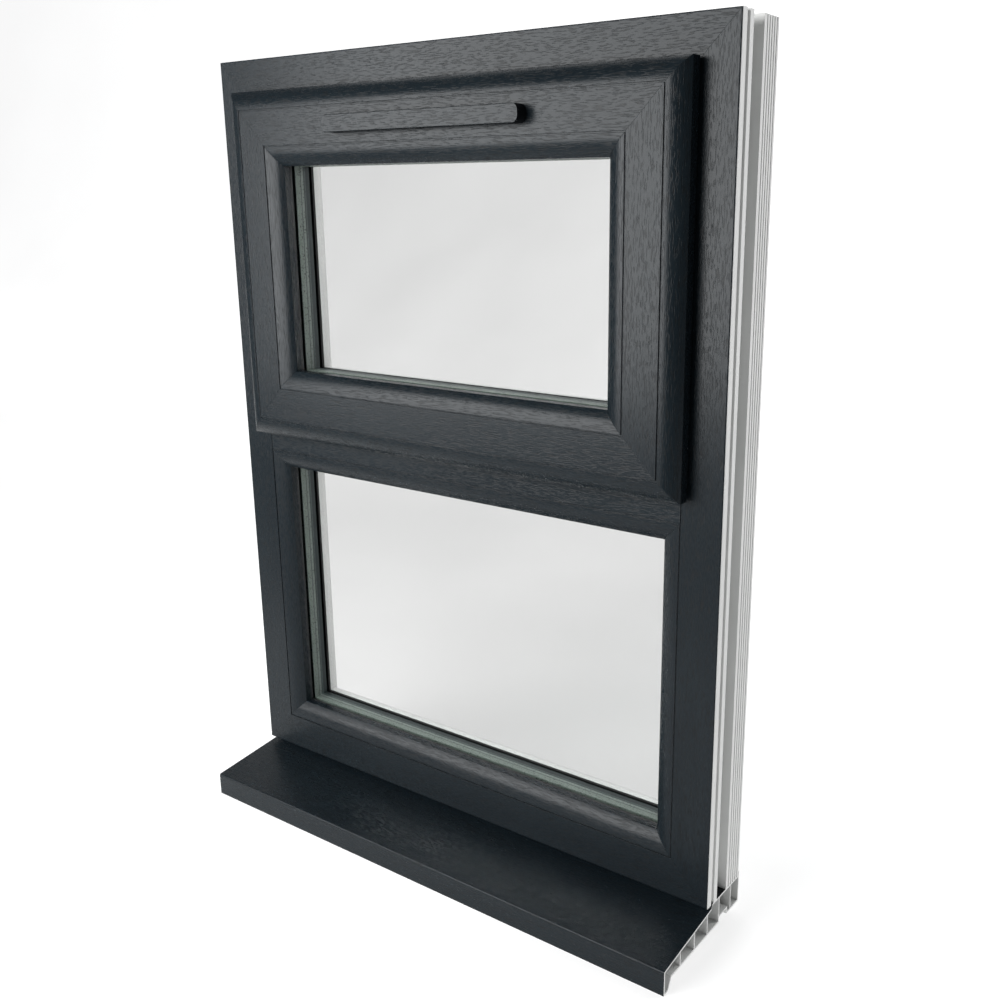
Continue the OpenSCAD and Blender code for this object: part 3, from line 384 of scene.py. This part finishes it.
for node in nodes:
    if "_pane" in node:
        paint(node, GLASS)
    elif "_gasket" in node or node.endswith(("_seal", "_sealant")):
        paint(node, RUBBER)
    elif node.endswith("_spacer"):
        paint(node, spacer(node))
    elif node.endswith("_packers"):
        paint(node, PACKER)
    elif "_bead" in node or node in ("vent_housing", "vent_flap"):
        paint(node, WHITE)
    elif node in ("handle_base", "handle_lever"):
        paint(node, COATED)
    elif node in ("transom_steel", "drive_bar", "lock_gearbox", "lock_cams", "lock_keeps", "keep_screws"):
        paint(node, ZINC_X)
    elif node.endswith(("_arm", "_track", "_pivots", "_pins", "_screws", "_spindle")):
        paint(node, STAINLESS)


def studio_paper():
    """Pale paper that glows, but not in front of the picture, so that low faces have a dark floor to mirror."""
    t = Tree("studio_paper")
    tone = t.noise(t.coords(), 1.3, 2.0)
    split = t.nodes.new("ShaderNodeSeparateXYZ")
    t.put(split.inputs[0], t.coords())
    x, y = split.outputs["X"], split.outputs["Y"]
    lean = 0.52  # how much the edge of the dark floor turns off the X axis
    slant = t.math("ADD", y, t.math("MULTIPLY", x, lean))
    pale = t.math("MULTIPLY", t.ramp(y, -1.3, -0.5), t.ramp(slant, -1.0, -0.6))
    far_left = t.ramp(x, -4.5, -2.6, 0.07, 0.0)
    glow = t.ramp(y, 0.5, 1.9, 0.62, 0.78)
    t.set(
        Base_Color=t.mix(t.math("MULTIPLY", pale, tone), (0.30, 0.30, 0.30), (0.62, 0.62, 0.62)),
        Roughness=0.9,
        Specular_IOR_Level=0.0,
        Emission_Color=(1.0, 1.0, 1.0, 1.0),
        Emission_Strength=t.math("MULTIPLY", pale, t.math("ADD", glow, far_left)),
    )
    return t.mat


def sweep():
    """A pale floor that curves up into a backdrop behind the window."""
    floor_z = cad_box[0].z - 0.2 * MM
    front, back, radius, top, half_width, steps = -6.0, 3.2, 1.6, 4.5, 8.0, 16
    path = [(front, floor_z), (back - radius, floor_z)]
    for k in range(1, steps + 1):
        turn = math.radians(90 * k / steps)
        path.append((back - radius + radius * math.sin(turn), floor_z + radius * (1 - math.cos(turn))))
    path.append((back, top))
    verts, faces = [], []
    for y, z in path:
        verts += [(-half_width, y, z), (half_width, y, z)]
    for k in range(len(path) - 1):
        faces.append((2 * k, 2 * k + 1, 2 * k + 3, 2 * k + 2))
    mesh = bpy.data.meshes.new("sweep")
    mesh.from_pydata(verts, [], faces)
    mesh.materials.append(studio_paper())
    for face in mesh.polygons:
        face.use_smooth = True
    obj = bpy.data.objects.new("sweep", mesh)
    scene.collection.objects.link(obj)


def softbox(name, place, target, width, height, radiance, through_glass):
    """A rectangular lamp of even brightness that faces target. through_glass says if panes show its light."""
    lamp = bpy.data.lights.new(name, "AREA")
    lamp.shape = "RECTANGLE"
    lamp.size, lamp.size_y = width, height
    lamp.energy = radiance * math.pi * width * height
    obj = bpy.data.objects.new(name, lamp)
    obj.location = place
    obj.rotation_euler = (Vector(target) - Vector(place)).to_track_quat("-Z", "Y").to_euler()
    obj.visible_transmission = through_glass
    scene.collection.objects.link(obj)


sweep()
softbox("key", (-0.65, -1.355, 0.86), (-0.21, -0.135, 0.84), 1.6, 1.22, 10.0, False)
softbox("top", (-0.8, 1.5, 3.4), (-0.8, 1.1, 0.0), 4.4, 2.0, 2.5, True)
softbox("right_strip", (1.9, 1.8, 0.75), (0.1, 0.0, 0.45), 0.8, 1.4, 4.2, True)

world = bpy.data.worlds.new("studio")
world.use_nodes = True
world.node_tree.nodes["Background"].inputs["Color"].default_value = (0.10, 0.105, 0.11, 1.0)
scene.world = world

camera = bpy.data.cameras.new("camera")
camera.sensor_width = 36.0
camera.lens = 39.03
camera.shift_x = -0.0624
camera.shift_y = -0.0048
EYE = (0.7345, -0.8484, 0.7093)
AZIMUTH, ELEVATION = math.radians(34.744), math.radians(15.085)
level = math.cos(ELEVATION)
ahead = Vector((-math.sin(AZIMUTH) * level, math.cos(AZIMUTH) * level, -math.sin(ELEVATION)))
right = Vector((math.cos(AZIMUTH), math.sin(AZIMUTH), 0.0))
up = right.cross(ahead)
eye = bpy.data.objects.new("camera", camera)
eye.matrix_world = Matrix.Translation(EYE) @ Matrix((right, up, -ahead)).transposed().to_4x4()
scene.collection.objects.link(eye)
scene.camera = eye

scene.view_settings.view_transform = "Standard"
scene.view_settings.look = "None"

bpy.context.view_layer.update()
